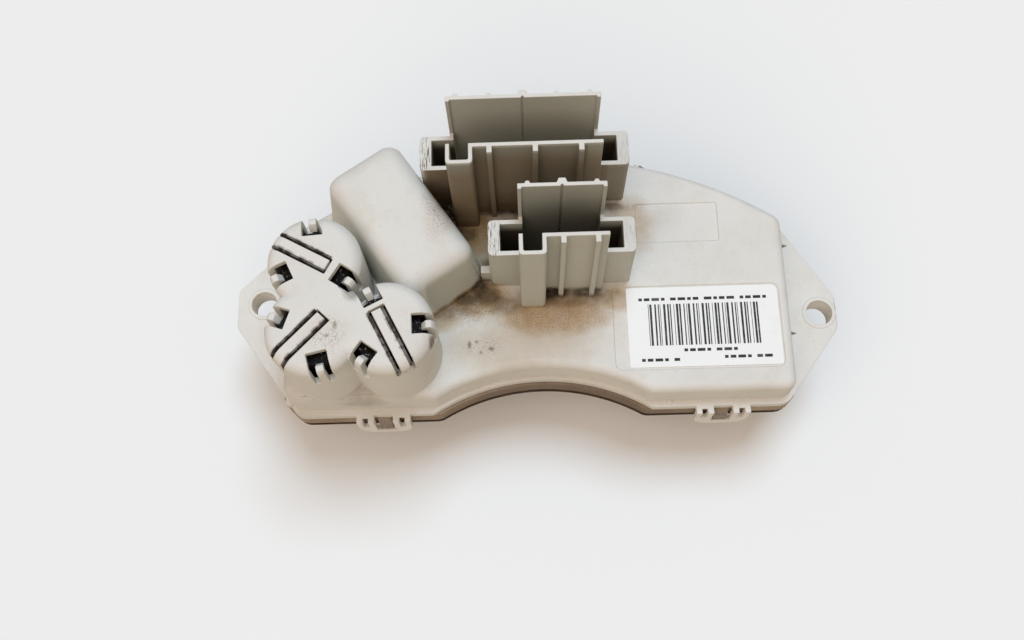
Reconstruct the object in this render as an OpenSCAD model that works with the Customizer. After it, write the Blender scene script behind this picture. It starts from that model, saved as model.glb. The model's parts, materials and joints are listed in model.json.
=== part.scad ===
// Electronic blower motor resistor: moulded cover with two plug sockets, three
// capacitor domes and a choke box, clipped over a finned heat sink.
// +Z points out of the plug sockets, +X runs along them. The origin is on the axis
// of the left ear hole, in the plane on which the ears seat.

/* [Ears and flange] */
// Distance between the two ear holes along X
hole_span = 144; // [140:0.5:150]
// How far the right ear hole lies nearer the front than the left one
hole_step = 6.8; // [4:0.1:9]
// Diameter of the ear holes
hole_d = 6.6; // [5.5:0.1:7.5]
// Depth of the ear holes, which is the flange's height above the seat
ear_h = 6.5; // [5.5:0.1:8]
// Thickness of the flange plate
flange_t = 2.4; // [1.8:0.1:3]
// Width of the flange's lip in front of the housing
lip_w = 1.7; // [1.2:0.1:2.5]
// Reach of the left ear past its hole
left_ear_reach = 6.8; // [5.5:0.1:8]
// Reach of the right ear past its hole
right_ear_reach = 4.3; // [3.9:0.1:6]
// Diameter of the round boss at each ear hole
ear_boss_d = 11; // [9.5:0.5:13]

/* [Housing] */
// Height of the cover's top face above the flange
face_rise = 8.5; // [7.5:0.1:11]
// Radius of the hollow front, which runs round the blower
blower_r = 52.4; // [50:0.1:56]
// Distance of the blower's axis in front of the left ear hole
blower_y = 74; // [72:0.5:76]
// Reach of the round back behind the left ear hole
back_y = 36.6; // [35:0.1:40]
// Distance of the front wall in front of the left ear hole
front_y = 28.9; // [28:0.1:30]
// Reach of the housing to the left of its middle
housing_left = 64.8; // [64:0.1:66]
// Reach of the housing to the right of its middle
housing_right = 62.9; // [61:0.1:64]
// Wall thickness of the cover
wall = 2.2; // [1.6:0.1:2.6]
// Radius of the rounded upper edge
edge_r = 2.2; // [1:0.1:2.4]

/* [Plug sockets] */
// Height of the low end pockets above the cover's face
pocket_h = 21; // [16:0.5:24]
// Height of the tall middle walls above the cover's face
tall_h = 36.6; // [30:0.2:40]
// Width of the large socket
large_w = 51; // [48:0.5:54]
// Width of the small socket
small_w = 35.1; // [33:0.5:37]
// Depth of a socket from front to back
socket_d = 9.1; // [8.5:0.1:10]
// Thickness of the walls of the low end pockets
socket_wall = 1.15; // [0.9:0.05:1.6]
// Thickness of the tall middle walls
tall_wall = 0.95; // [0.8:0.05:1.4]
// Thickness of the walls at the two ends of a socket
socket_end = 2.9; // [2:0.1:3.2]
// How far the tall walls stand out past the pockets
tall_step = 2.05; // [1.6:0.05:2.4]
// How far the keyway stands out past the tall front wall
key_step = 4.15; // [3.6:0.05:4.6]
// Width of the keyway
key_w = 6.2; // [5.4:0.1:7]
// Depth of the socket floor below the cover's face
floor_drop = 4; // [3:0.1:4.5]

/* [Capacitors and domes] */
// Outer radius of a dome
dome_r = 11.2; // [10.6:0.1:11.6]
// Height of the domes above the cover's face
dome_h = 24; // [22:0.5:28]
// Wall thickness of the domes
dome_wall = 1.8; // [1.4:0.1:2.2]
// Radius of the domes' rounded shoulder
dome_edge = 3; // [1.5:0.1:3.2]
// Distance between the two front domes
dome_pitch_x = 17.1; // [16.7:0.1:18]
// Distance between the two left domes
dome_pitch_y = 16.8; // [16.6:0.1:18]
// Diameter of a capacitor over its sleeve
cap_d = 16; // [14:0.1:16.4]
// Width of a spring tongue
tongue_w = 3; // [2.6:0.1:4.4]
// Width of the slit round a spring tongue
slit_w = 0.55; // [0.4:0.05:0.9]
// Width of a catch window
window_w = 4.9; // [4.2:0.1:5.6]
// Width of a catch finger
finger_w = 1.8; // [1.4:0.1:2.2]

/* [Choke] */
// Length of the choke box
box_l = 40.9; // [39:0.1:42]
// Width of the choke box
box_w = 24.4; // [22:0.1:25]
// Height of the choke box above the cover's face
box_h = 20; // [18:0.5:23]
// Direction of the choke box
box_angle = -56.2; // [-60:0.1:-52]
// Length of the choke's core
core_l = 30; // [24:0.5:31]
// Diameter of the choke's core
core_d = 9.5; // [8:0.1:11]
// Diameter of the winding wire
wire_d = 1.8; // [1.2:0.1:2.2]
// Number of turns of the winding
turns = 12; // [8:1:13]

/* [Heat sink] */
// Height of the aluminium tray below the seat
tray_drop = 5; // [4.5:0.1:7]
// Thickness of the tray's floor
tray_floor = 3.5; // [3:0.1:4.2]
// Height of the fins
fin_h = 20; // [12:0.5:28]
// Thickness of a fin at its tip
fin_tip = 1.6; // [1.2:0.1:2.2]
// Thickness of a fin at its root
fin_root = 2.4; // [2:0.1:3]
// Distance from fin to fin
fin_pitch = 6; // [5:0.1:8]
// Height of the rubber ring under the rim
seal_h = 3; // [2:0.1:3.4]

/* [Board] */
// Thickness of the circuit board
board_t = 1.6; // [1:0.1:2]
// Height of the board's underside above the tray floor
board_lift = 4.1; // [3.6:0.1:4.6]
// Thickness of a plug blade
blade_t = 0.8; // [0.6:0.1:1]
// Width of a plug blade
blade_w = 4.8; // [4:0.1:5.2]
// Length of a plug blade above the socket floor
blade_l = 10; // [7:0.5:14]

/* [Label] */
// Width of the label
label_w = 38; // [34:0.5:38]
// Height of the label
label_l = 20.9; // [18:0.1:21.4]

/* [Hidden] */
$fn = 64;

// Small working gap between pieces that touch
gap = 0.2;
// Overlap of a cutting body past the face that it cuts
cut = 0.5;

// Heights above the seat
lip_z = ear_h - flange_t;
flange_mid_z = ear_h - flange_t / 2;
face_z = ear_h + face_rise;
floor_z = face_z - floor_drop;
socket_base_z = floor_z - wall;
pocket_z = face_z + pocket_h;
tall_z = face_z + tall_h;
dome_z = face_z + dome_h;
box_z = face_z + box_h;
tray_z = -tray_drop;
tray_in_z = tray_z + tray_floor;
fin_z = tray_z - fin_h;
board_z = tray_in_z + board_lift;
board_top_z = board_z + board_t;

// Places along X are counted from the middle between the ear holes
mid_x = hole_span / 2;
left_hole = [-mid_x, 0];
right_hole = [mid_x, -hole_step];
back_r = blower_y + back_y;

// Radius of the lip at the hollow front and at the round back
lip_front_r = blower_r - 0.9;
lip_back_r = back_r + lip_w;

// Plastic and metal colours
moulding_grey = [0.80, 0.79, 0.75];
metal_grey = [0.68, 0.69, 0.70];
rubber_black = [0.09, 0.09, 0.09];
tin = [0.78, 0.77, 0.72];
copper = [0.76, 0.45, 0.26];
epoxy_black = [0.12, 0.12, 0.13];

// Outline tools. An outline is a list of [x, y, corner radius], counter-clockwise.
function unit(v) = v / norm(v);
function flat(p) = [p[0], p[1]];
function turn(a) = a > 180 ? a - 360 : a < -180 ? a + 360 : a;

function corner_arc(a, b, c, r, n) =
    let(
        u = unit(a - b),
        v = unit(c - b),
        half = acos(u * v) / 2,
        middle = b + unit(u + v) * r / sin(half),
        start = b + u * r / tan(half) - middle,
        end = b + v * r / tan(half) - middle,
        a0 = atan2(start[1], start[0]),
        sweep = turn(atan2(end[1], end[0]) - a0)
    )
    [for (i = [0:n]) middle + r * [cos(a0 + sweep * i / n), sin(a0 + sweep * i / n)]];

function rounded(pts, n = 5) =
    let(m = len(pts))
    [for (i = [0:m - 1])
        each pts[i][2] == 0 ? [flat(pts[i])]
            : corner_arc(flat(pts[(i + m - 1) % m]), flat(pts[i]), flat(pts[(i + 1) % m]), pts[i][2], n)];

// Moves every edge of an outline inwards by d, or outwards where d is negative
function inset(pts, d) =
    let(m = len(pts))
    [for (i = [0:m - 1])
        let(
            u = unit(pts[i] - pts[(i + m - 1) % m]),
            v = unit(pts[(i + 1) % m] - pts[i]),
            nu = [-u[1], u[0]],
            nv = [-v[1], v[0]]
        )
        pts[i] + (nu + nv) * d / (1 + nu * nv)];

function arc_y(r, x) = sqrt(r * r - x * x) - blower_y;
function arc_end(r, y) = sqrt(r * r - pow(y + blower_y, 2));

// Points of an arc about the blower's axis, without its two ends
function arc_inner(r, x0, x1, n) =
    let(a0 = asin(x0 / r), a1 = asin(x1 / r))
    [for (i = [1:n - 1]) let(a = a0 + (a1 - a0) * i / n) [r * sin(a), r * cos(a) - blower_y, 0]];

function box_corners(x0, y0, x1, y1, r) = [[x0, y0, r], [x1, y0, r], [x1, y1, r], [x0, y1, r]];

// Solid through a stack of rings, each [height, points], with as many points in each.
// Both caps are fans about a point from which the whole outline is in sight.
module loft(rings, middle = [0, 0]) {
    m = len(rings[0][1]);
    last = len(rings) - 1;
    low = len(rings) * m;
    polyhedron(
        points = [
            for (ring = rings) each [for (p = ring[1]) [p[0], p[1], ring[0]]],
            [middle[0], middle[1], rings[0][0]],
            [middle[0], middle[1], rings[last][0]],
        ],
        faces = [
            for (i = [0:m - 1]) [i, (i + 1) % m, low],
            for (i = [0:m - 1]) [last * m + (i + 1) % m, last * m + i, low + 1],
            for (k = [0:len(rings) - 2], i = [0:m - 1])
                let(a = k * m + i, b = k * m + (i + 1) % m)
                each [[a, a + m, b + m], [a, b + m, b]],
        ]
    );
}

module prism(pts, z0, z1) {
    translate([0, 0, z0]) linear_extrude(z1 - z0) polygon(pts);
}

module block(x0, y0, z0, x1, y1, z1) {
    translate([x0, y0, z0]) cube([x1 - x0, y1 - y0, z1 - z0]);
}

module from_left_hole() {
    translate([mid_x, 0, 0]) children();
}

// Outline of the housing's wall
housing_front_x = arc_end(blower_r, -front_y);
housing_corners = [
    [-housing_left + 3.4, -front_y, 2.8],
    [-housing_front_x, -front_y, 3],
    each arc_inner(blower_r, -housing_front_x, housing_front_x, 22),
    [housing_front_x, -front_y, 3],
    [housing_right, -front_y, 3],
    [housing_right, arc_y(back_r, housing_right), 3.5],
    each arc_inner(back_r, housing_right, -housing_left, 36),
    [-housing_left, arc_y(back_r, housing_left), 3.5],
    [-housing_left, -front_y + 3.5, 2.8],
];
housing_outline = rounded(housing_corners);

// Outline of the flange with both ears
flange_front_y = -front_y - lip_w;
flange_front_x = arc_end(lip_front_r, flange_front_y);
left_tip_x = left_hole[0] - left_ear_reach;
right_tip_x = right_hole[0] + right_ear_reach;
left_root_x = -(housing_left - 3.3);
right_root_x = housing_right + 0.1;
flange_outline = rounded([
    [-(housing_left - 2.9), flange_front_y, 3.5],
    [-flange_front_x, flange_front_y, 2.5],
    each arc_inner(lip_front_r, -flange_front_x, flange_front_x, 22),
    [flange_front_x, flange_front_y, 2],
    [housing_right - 1.3, flange_front_y, 4],
    [right_tip_x, right_hole[1] - 4.3, 2.5],
    [right_tip_x, right_hole[1] + 4.4, 2.5],
    [right_root_x, arc_y(lip_back_r, right_root_x), 3],
    each arc_inner(lip_back_r, right_root_x, left_root_x, 36),
    [left_root_x, arc_y(lip_back_r, left_root_x), 2],
    [left_tip_x, left_hole[1] + 3.9, 2.5],
    [left_tip_x, left_hole[1] - 6.3, 2.5],
]);

// Outline of the heat sink's rim, a little inside the flange's lip
rim_grow = 1.5;
rim_outline = inset(housing_outline, -rim_grow);

// Domes: centre, direction of the tongue's root, reach of its free end past the centre
// and the directions of the catches
front_dome_y = -front_y + dome_r + 0.3;
left_dome_x = -housing_left + dome_r + 0.5;
domes = [
    [[left_dome_x + dome_pitch_x, front_dome_y], 296.5, 4.3, [2, 117, 234]],
    [[left_dome_x, front_dome_y], 225.5, 3.6, [161, 283]],
    [[left_dome_x, front_dome_y + dome_pitch_y], 151, 3.7, [94, 205, 327]],
];
chamber_r = dome_r - dome_wall;
chamber_z = dome_z - dome_wall;

// Catches: how deep the window runs, how far in it starts, and the finger's head
window_drop = 9;
window_in = 6;
head_low = 3.2;
head_top = 1;
head_in = 8;
tongue_drop = 5;

// Capacitors stand on the board and end just under the catches' heads
cap_r = cap_d / 2;
cap_top_z = dome_z - head_low - 0.3;
sleeve_t = 0.18;
sleeve_fold = 2.6;
can_r = cap_r - sleeve_t - 0.02;
bung_r = can_r - 0.6;
bung_h = 3.8;
lead_r = 0.4;
lead_pitch = 7.5;

// Plateau between the domes: how far it reaches out past the lines between their centres
plateau_out = 7;
plateau_in = 1.2;
plateau_outline = let(
    left = left_dome_x,
    right = left_dome_x + dome_pitch_x,
    front = front_dome_y,
    back = front_dome_y + dome_pitch_y
) rounded([
    [left - plateau_out, front - plateau_out, 5],
    [right, front - plateau_out, 0],
    [right, front + plateau_in * 1.4, 0],
    [left + plateau_in * 1.4, back, 0],
    [left - plateau_out, back, 0],
], 5);

// Choke box: its middle, its edge radius and the draft of its walls
box_x = -33.8;
box_y = back_y - 24.5;
box_corner = 4.6;
box_edge = 5;
box_draft = 1.9;
box_wall = 1.8;

// Plug sockets: left end and front face of each
small_x = -12.25;
small_y = 0;
large_x = -28.5;
large_y = back_y - 13.85;
key_in = 7.4;
tall_in = 7.3;
front_rib_first = 17.45;
back_rib_first = 9.7;
back_rib_pitch = 7.87;
rib_w = 1.25;
rib_out = 1.6;
key_corner = 0.9;
tall_return = 0.45;

// Clip loops, seen from outside: overall width, drop, reach and the bar's height
loop_w = 13.6;
loop_out = 2;
loop_t = 1.4;
loop_drop = 4;
loop_bar = 2;
loop_window = 4.8;
loop_leg = 1.5;
loop_slot = 1.5;
slot_h = 5.5;
slot_roof = 0.7;
loop_corner = 4.5;
catch_w = 3.4;
catch_out = loop_out - 0.4;
front_clips = [-40.5, 45.4];
back_clips = [-11, 11];

// Outline of the choke box at a height where its wall has moved in by d
function box_ring(d, shrink) =
    let(a = box_l / 2 - d, b = box_w / 2 - d, r = max(box_corner - shrink, 0.6))
    rounded(box_corners(-a, -b, a, b, r), 8);

module at_box() {
    translate([box_x, box_y, 0]) rotate([0, 0, box_angle]) children();
}

module box_body(skin, bottom_z) {
    top = box_z - skin;
    r = box_edge - skin * 0.6;
    at_box() loft([
        [bottom_z, box_ring(skin, 0)],
        [face_z - 1.5, box_ring(skin, 0)],
        [top - r, box_ring(skin + box_draft, 1)],
        for (a = [15:15:90])
            [top - r * (1 - sin(a)), box_ring(skin + box_draft + r * (1 - cos(a)), 1 + r * (1 - cos(a)) / 2)],
    ]);
}

module housing_body() {
    loft([
        [flange_mid_z, housing_outline],
        [face_z - edge_r, inset(housing_outline, 0.2)],
        for (a = [22.5:22.5:90])
            [face_z - edge_r * (1 - sin(a)), inset(housing_outline, 0.2 + edge_r * (1 - cos(a)))],
    ]);
}

// Fills the valley between the domes, so that their tops run into one another
module dome_plateau() {
    middle = [left_dome_x + 2, front_dome_y + 2];
    loft([
        [face_z - 2.5, plateau_outline],
        [dome_z - dome_edge, plateau_outline],
        for (a = [22.5:22.5:90])
            [dome_z - dome_edge * (1 - sin(a)), inset(plateau_outline, dome_edge * (1 - cos(a)))],
    ], middle);
}

module dome_body(at) {
    translate([at[0], at[1], 0]) rotate_extrude() {
        difference() {
            square([dome_r, dome_z]);
            square([dome_r, flange_mid_z]);
            translate([dome_r - dome_edge, dome_z - dome_edge]) difference() {
                square(dome_edge + cut);
                circle(dome_edge);
            }
        }
    }
}

// Window of a catch, round the finger that stays in the dome's wall
module catch_window() {
    difference() {
        block(window_in, -window_w / 2, dome_z - window_drop, dome_r + cut, window_w / 2, dome_z + cut);
        block(chamber_r - 0.1, -finger_w / 2, dome_z - window_drop - cut,
            dome_r + 2 * cut, finger_w / 2, dome_z - head_top);
    }
}

// Head of a catch's finger, which holds the capacitor down
module catch_head() {
    low = dome_z - head_low;
    high = dome_z - head_top;
    translate([0, finger_w / 2, 0]) rotate([90, 0, 0]) linear_extrude(finger_w)
        polygon([[head_in, low], [chamber_r + 0.4, low], [chamber_r + 0.4, high], [head_in + 1.2, high]]);
}

module tongue_slit(reach) {
    side = tongue_w / 2;
    low = dome_z - tongue_drop;
    for (s = [-1, 1])
        translate([-reach, s > 0 ? side : -side - slit_w, low])
            cube([reach + dome_r + cut, slit_w, tongue_drop + cut]);
    block(-reach - slit_w, -side - slit_w, chamber_z - cut, -reach, side + slit_w, dome_z + cut);
}

// Nub under a tongue's free end, just clear of the capacitor
module tongue_nub(reach) {
    block(-reach, -tongue_w / 4, cap_top_z + 0.3, -reach + 2.2, tongue_w / 4, chamber_z + cut);
}

module at_dome(d, angle) {
    translate([d[0][0], d[0][1], 0]) rotate([0, 0, angle]) children();
}

// Plan of a keyway, moved in by t
module key_plan(t) {
    r = key_corner - t / 2;
    front = -tall_step - key_step + t;
    polygon(rounded([
        [key_in + t, front, r], [key_in + key_w - t, front, r],
        [key_in + key_w - t, t + 0.2, 0], [key_in + t, t + 0.2, 0],
    ], 3));
}

// Plan of a socket: the pockets moved in by t, the tall middle and the keyway by tall_t
module socket_plan(w, t, tall_t, end_t) {
    x0 = key_in + tall_t;
    x1 = w - tall_in - tall_t;
    polygon(inset(rounded(box_corners(end_t - t, 0, w - end_t + t, socket_d, t == 0 ? 1.2 : 0), 4), t));
    translate([x0, -tall_step + tall_t]) square([x1 - x0, socket_d + 2 * (tall_step - tall_t)]);
    key_plan(tall_t);
}

// Tall walls alone, open at both ends above the pockets
module tall_plan(w) {
    x0 = key_in;
    x1 = w - tall_in;
    open_y = socket_d + tall_step - tall_wall - tall_return;
    difference() {
        union() {
            translate([x0, -tall_step]) square([x1 - x0, socket_d + 2 * tall_step]);
            key_plan(0);
        }
        socket_hollow_plan(w);
        translate([x0 - cut, -tall_step + tall_wall]) square([tall_wall + 2 * cut, open_y + tall_step - tall_wall]);
        translate([x1 - tall_wall - cut, -tall_step + tall_wall])
            square([tall_wall + 2 * cut, open_y + tall_step - tall_wall]);
    }
}

module socket_hollow_plan(w) {
    socket_plan(w, socket_wall, tall_wall, socket_end);
}

// Outside of one socket, with its ribs and the nubs on its back
module socket_body(w, front_ribs, rib_pitch, back_ribs) {
    translate([0, 0, socket_base_z]) linear_extrude(pocket_z - socket_base_z) socket_plan(w, 0, 0, 0);
    translate([0, 0, pocket_z - 1]) linear_extrude(tall_z - pocket_z + 1) tall_plan(w);
    for (i = [0:front_ribs - 1])
        block(front_rib_first + i * rib_pitch - rib_w / 2, -tall_step - rib_out, face_z - 1,
            front_rib_first + i * rib_pitch + rib_w / 2, -tall_step + 0.2, tall_z);
    for (i = [0:back_ribs - 1]) {
        middle = i == (back_ribs - 1) / 2;
        half = middle ? 1.3 : 0.7;
        out = middle ? 1.1 : 0.6;
        translate([back_rib_first + i * back_rib_pitch, socket_d + tall_step, face_z - 1])
            linear_extrude(tall_z - face_z + 1)
                polygon([[-half, -0.2], [half, -0.2], [half * 0.6, out], [-half * 0.6, out]]);
    }
}

// Hollow of one socket, with the groove inside its back wall
module socket_hollow(w, back_ribs) {
    translate([0, 0, floor_z]) linear_extrude(tall_z - floor_z + cut) socket_hollow_plan(w);
    translate([back_rib_first + (back_ribs - 1) / 2 * back_rib_pitch, socket_d + tall_step - tall_wall, floor_z])
        linear_extrude(tall_z - floor_z + cut)
            polygon([[-0.6, -0.2], [0.6, -0.2], [0, 0.6]]);
}

module at_small() { translate([small_x, small_y, 0]) children(); }
module at_large() { translate([large_x, large_y, 0]) children(); }

// One clip loop; the lip's edge is at y = 0 and the outside at y > 0
module clip_loop() {
    leg_x = loop_window / 2;
    slot_x = leg_x + loop_leg;
    difference() {
        union() {
            translate([0, loop_out, 0]) rotate([90, 0, 0]) linear_extrude(loop_t)
                polygon(rounded([
                    [-loop_w / 2, -loop_drop, loop_corner], [loop_w / 2, -loop_drop, loop_corner],
                    [loop_w / 2, ear_h, 0], [-loop_w / 2, ear_h, 0],
                ]));
            block(-loop_w / 2, -0.8, lip_z, loop_w / 2, loop_out - 0.2, ear_h);
        }
        block(-leg_x, 0, -loop_drop + loop_bar, leg_x, loop_out + cut, ear_h + cut);
        for (s = [-1, 1])
            translate([s > 0 ? slot_x : -slot_x - loop_slot, 0, ear_h - slot_h])
                cube([loop_slot, loop_out + cut, slot_h - slot_roof]);
    }
}

// Places a clip at the front lip or at the round back
module at_front_clip(x) { translate([x, flange_front_y, 0]) rotate([0, 0, 180]) children(); }
module at_back_clip(angle) {
    translate([0, -blower_y, 0]) rotate([0, 0, -angle]) translate([0, lip_back_r, 0]) children();
}
module at_each_clip() {
    for (x = front_clips) at_front_clip(x) children();
    for (a = back_clips) at_back_clip(a) children();
}

// Space beside the housing, clear of the heat sink's rim
module ear_zone(side) {
    clear = rim_grow + 0.4;
    translate([side > 0 ? housing_right + clear : -housing_left - 20 - clear, -40, 0]) cube([20, 80, ear_h]);
}

// Ears: a skirt under the flange's edge and a round boss at each hole
module ears() {
    for (side = [-1, 1])
        intersection() {
            difference() {
                prism(flange_outline, 0, ear_h);
                prism(inset(flange_outline, 1.6), -cut, lip_z);
            }
            ear_zone(side);
        }
    for (h = [left_hole, right_hole])
        translate([h[0], h[1], 0]) {
            intersection() {
                cylinder(d = ear_boss_d, h = ear_h);
                translate([-h[0], -h[1], 0]) prism(flange_outline, 0, ear_h);
                translate([-h[0], -h[1], 0]) ear_zone(h[0] > 0 ? 1 : -1);
            }
            cylinder(r = hole_d / 2 + 1, h = ear_h + 0.3);
        }
}

module ear_holes() {
    for (h = [left_hole, right_hole])
        translate([h[0], h[1], -cut]) cylinder(d = hole_d, h = ear_h + 2 * cut + 1);
}

// The label's recess, and the bare one behind it
label_x = 21.7;
label_y = -22.5;
recess_deep = 0.35;
module face_recesses() {
    prism(rounded(box_corners(label_x - 3.5, label_y - 0.6, label_x + label_w + 0.4, label_y + label_l + 0.4, 1.8)),
        face_z - recess_deep, face_z + cut);
    prism(rounded(box_corners(25.4, back_y - 25.8, 46.4, back_y - 15.1, 0.6)), face_z - 0.3, face_z + cut);
}

// Shut-off holes beside the right ear and the small marks on the lip
module lip_details() {
    translate([31.8, -front_y - 0.6, ear_h - 0.2]) cylinder(d = 1.4, h = 0.6);
    translate([-housing_left + 0.8, -front_y + 2.3, flange_mid_z]) cylinder(d = 2.4, h = flange_t);
    block(small_x - 2.4, small_y + 1.4, face_z - 1, small_x + 0.5, small_y + 3.4, face_z + 6);
}

module shut_off_holes() {
    for (y = [12.1, -12.1])
        translate([housing_right + 1.6, y, lip_z - cut]) linear_extrude(flange_t + 2 * cut)
            polygon([[-0.9, -0.7], [1.3, 0], [-0.9, 0.7]]);
}

// Slots in the socket floors for the blades and pins
signal_x = [4.2, 11.2, 18.2, 25.2];
signal_w = 2.2;
blade_x = [5.9, 16.7, 31.2, 43.4];
socket_mid_y = socket_d / 2;
module terminal_slots() {
    at_large() for (x = blade_x)
        block(x - blade_w / 2 - gap / 2, socket_mid_y - blade_t / 2 - gap / 2, socket_base_z - cut,
            x + blade_w / 2 + gap / 2, socket_mid_y + blade_t / 2 + gap / 2, floor_z + cut);
    at_small() for (x = signal_x)
        block(x + 3 - signal_w / 2 - gap / 2, socket_mid_y - blade_t / 2 - gap / 2, socket_base_z - cut,
            x + 3 + signal_w / 2 + gap / 2, socket_mid_y + blade_t / 2 + gap / 2, floor_z + cut);
}

module cover() {
    color(moulding_grey) from_left_hole() union() {
        difference() {
            union() {
                difference() {
                    union() {
                        housing_body();
                        prism(flange_outline, lip_z, ear_h);
                        for (d = domes) dome_body(d[0]);
                        dome_plateau();
                        box_body(0, ear_h);
                    }
                    prism(inset(housing_outline, wall), lip_z - cut, face_z - wall);
                    for (d = domes)
                        translate([d[0][0], d[0][1], face_z - wall - cut])
                            cylinder(r = chamber_r, h = chamber_z - face_z + wall + cut);
                    box_body(box_wall, ear_h + wall);
                }
                ears();
                at_each_clip() clip_loop();
                at_small() socket_body(small_w, 2, 7.7, 3);
                at_large() socket_body(large_w, 3, 10.6, 5);
                lip_details();
                for (d = domes) at_dome(d, d[1]) tongue_nub(d[2]);
            }
            at_small() socket_hollow(small_w, 3);
            at_large() socket_hollow(large_w, 5);
            terminal_slots();
            for (d = domes) {
                for (a = d[3]) at_dome(d, a) catch_window();
                at_dome(d, d[1]) tongue_slit(d[2]);
            }
            ear_holes();
            face_recesses();
            shut_off_holes();
        }
        for (d = domes, a = d[3]) at_dome(d, a) catch_head();
    }
}

module label() {
    color([0.96, 0.96, 0.95]) from_left_hole()
        prism(rounded([
            [label_x, label_y, 0.4], [label_x + label_w, label_y, 0.4],
            [label_x + label_w, label_y + label_l, 1.6], [label_x, label_y + label_l, 0.4],
        ]), face_z - recess_deep, face_z - recess_deep + 0.25);
}

// Heat sink: tray, catches for the clip loops, board posts and fins
post_r = 2.6;
posts = [[-41.5, -1], [-24, back_y - 18.1], [8, -12], [55, back_y - 24.1]];
rim_z = tray_z + seal_h + 1;
seal_in = 0.65;

// Power stage: three packages in a row on the thermal pad, under one clamp
package_w = 10;
package_h = 4.4;
package_pitch = 10.4;
package_y = -15;
pad_t = 0.3;
package_z = tray_in_z + pad_t;
lead_y = -0.9;
clamp_x = 36.5;
clamp_y = package_y + 4;
clamp_z = package_z + package_h;
clamp_t = 0.9;
clamp_bolt = package_pitch * 1.5 + 2.2;
clamp_boss_z = clamp_z - 0.3;
fin_inset = 7;
fin_count = 8;
fin_first = -15.5;

module fins() {
    intersection() {
        prism(inset(housing_outline, fin_inset > 2.6 ? 2.6 : fin_inset), fin_z, tray_z + cut);
        union() for (i = [0:fin_count - 1])
            translate([-housing_left, fin_first + i * fin_pitch, 0]) rotate([90, 0, 90])
                linear_extrude(housing_left + housing_right)
                    polygon([
                        [-fin_root / 2, tray_z + cut], [-fin_tip / 2, fin_z],
                        [fin_tip / 2, fin_z], [fin_root / 2, tray_z + cut],
                    ]);
        fin_zone();
    }
}

// The fins stay clear of the edges, so that the tray hides them from above
module fin_zone() {
    difference() {
        translate([0, -blower_y, fin_z - cut]) cylinder(r = back_r - fin_inset, h = fin_h + 2 * cut);
        translate([0, -blower_y, fin_z - 2 * cut]) cylinder(r = blower_r + fin_inset, h = fin_h + 4 * cut);
        block(-housing_left - 9, -blower_y - back_r, fin_z - 2 * cut,
            -housing_left + fin_inset, back_r, tray_z + 2 * cut);
        block(housing_right - fin_inset, -blower_y - back_r, fin_z - 2 * cut,
            housing_right + 9, back_r, tray_z + 2 * cut);
    }
}

module sink_catch() {
    low = -loop_drop + loop_bar + gap;
    root = -lip_w - 0.5;
    face = -lip_w + rim_grow;
    translate([-catch_w / 2, 0, 0]) rotate([90, 0, 90]) linear_extrude(catch_w)
        polygon([[root, rim_z + 0.1], [face, rim_z + 0.1], [face, low], [catch_out, low],
            [catch_out, low + 1.4], [face + 0.3, lip_z - 0.2], [root, lip_z - 0.2]]);
}

module heat_sink() {
    color(metal_grey) from_left_hole() difference() {
        union() {
            difference() {
                prism(rim_outline, rim_z, lip_z);
                prism(inset(housing_outline, wall + 0.2), tray_in_z, lip_z + cut);
            }
            difference() {
                prism(inset(housing_outline, seal_in), tray_z, rim_z + cut);
                prism(inset(housing_outline, wall + 0.2), tray_in_z, lip_z + cut);
            }
            at_each_clip() sink_catch();
            fins();
            for (p = posts)
                translate([p[0], p[1], tray_in_z - cut]) cylinder(r = post_r, h = board_lift + cut);
            for (s = [-1, 1])
                translate([clamp_x + s * clamp_bolt, clamp_y, tray_in_z - cut])
                    cylinder(r = 2.1, h = clamp_boss_z - tray_in_z + cut);
        }
        for (p = posts)
            translate([p[0], p[1], tray_in_z - 1]) cylinder(d = 2.5, h = board_lift + 2);
        for (s = [-1, 1])
            translate([clamp_x + s * clamp_bolt, clamp_y, tray_in_z - 1]) cylinder(d = 2.5, h = 8);
    }
}

module housing_seal() {
    color(rubber_black) from_left_hole() difference() {
        prism(inset(housing_outline, -rim_grow + 0.2), rim_z - seal_h, rim_z);
        prism(inset(housing_outline, seal_in), rim_z - seal_h - cut, rim_z + cut);
    }
}

// Board: clear of the cover's walls and of the transistors
board_gap = 0.5;
power_edge = [clamp_x - clamp_bolt - 3, package_y + 12.4];
module circuit_board() {
    color([0.10, 0.32, 0.20]) from_left_hole() difference() {
        prism(inset(housing_outline, wall + board_gap), board_z, board_top_z);
        block(power_edge[0], -front_y - 1, board_z - cut, housing_right + 1, power_edge[1], board_top_z + cut);
        for (i = [-1:1], k = [-1:1])
            translate([clamp_x + i * package_pitch + k * 2.54, lead_y, board_z - cut])
                cylinder(d = 1.2, h = board_t + 2 * cut);
        for (p = posts)
            translate([p[0], p[1], board_z - cut]) cylinder(d = 3.2, h = board_t + 2 * cut);
        for (d = domes, s = [-1, 1])
            translate([d[0][0] + s * lead_pitch / 2, d[0][1], board_z - cut]) cylinder(r = lead_r + 0.1, h = board_t + 2 * cut);
        for (s = [-1, 1])
            at_box() translate([s * (core_l / 2 - 5), 0, board_z - cut]) cylinder(d = wire_d + 0.2, h = board_t + 2 * cut);
        at_small() for (x = signal_x)
            translate([x + 3, socket_mid_y, board_z - cut]) cylinder(d = 1.2, h = board_t + 2 * cut);
    }
}

module screw(at, top, length, head_d) {
    translate([at[0], at[1], top]) {
        difference() {
            cylinder(d = head_d, h = 2);
            translate([0, 0, 0.9]) cylinder(d = 2.4, h = 2, $fn = 6);
        }
        translate([0, 0, -length]) cylinder(d = 2.4, h = length + 0.1);
    }
}

module board_screws() {
    color(tin) from_left_hole() for (p = posts) screw(p, board_top_z, board_t + board_lift - 0.2, 5);
}

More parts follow.
